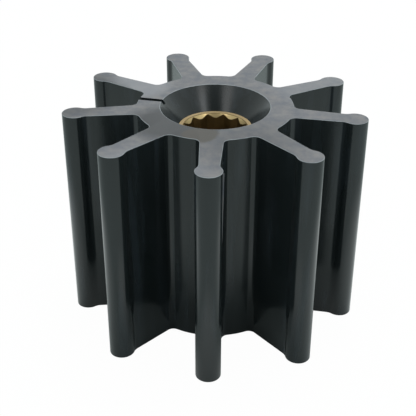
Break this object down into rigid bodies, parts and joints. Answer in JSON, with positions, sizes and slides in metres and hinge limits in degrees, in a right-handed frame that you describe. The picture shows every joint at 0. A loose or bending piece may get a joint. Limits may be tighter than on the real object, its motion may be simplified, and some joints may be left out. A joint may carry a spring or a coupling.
{
  "type": "rubber pump impeller",
  "caption": "Flexible rubber pump impeller with straight radial vanes, round sealing beads, conical end recesses and a moulded-in splined brass insert.",
  "frame": {"origin": "on the shaft axis, midway between the two end faces, which is the middle of the splined bore", "axes": "+Z along the shaft axis towards the end face with the slot; the first vane points along -Y"},
  "size_m": [0.1184, 0.1167, 0.09],
  "materials": {
    "moulded_rubber": "black nitrile rubber, satin on the moulded flanks and matt grey on the trimmed end faces",
    "insert_brass": "turned and broached brass, dull"
  },
  "bodies": {
    "root": {"vane_body": "moulded_rubber", "splined_insert": "insert_brass"}
  },
  "joints": []
}
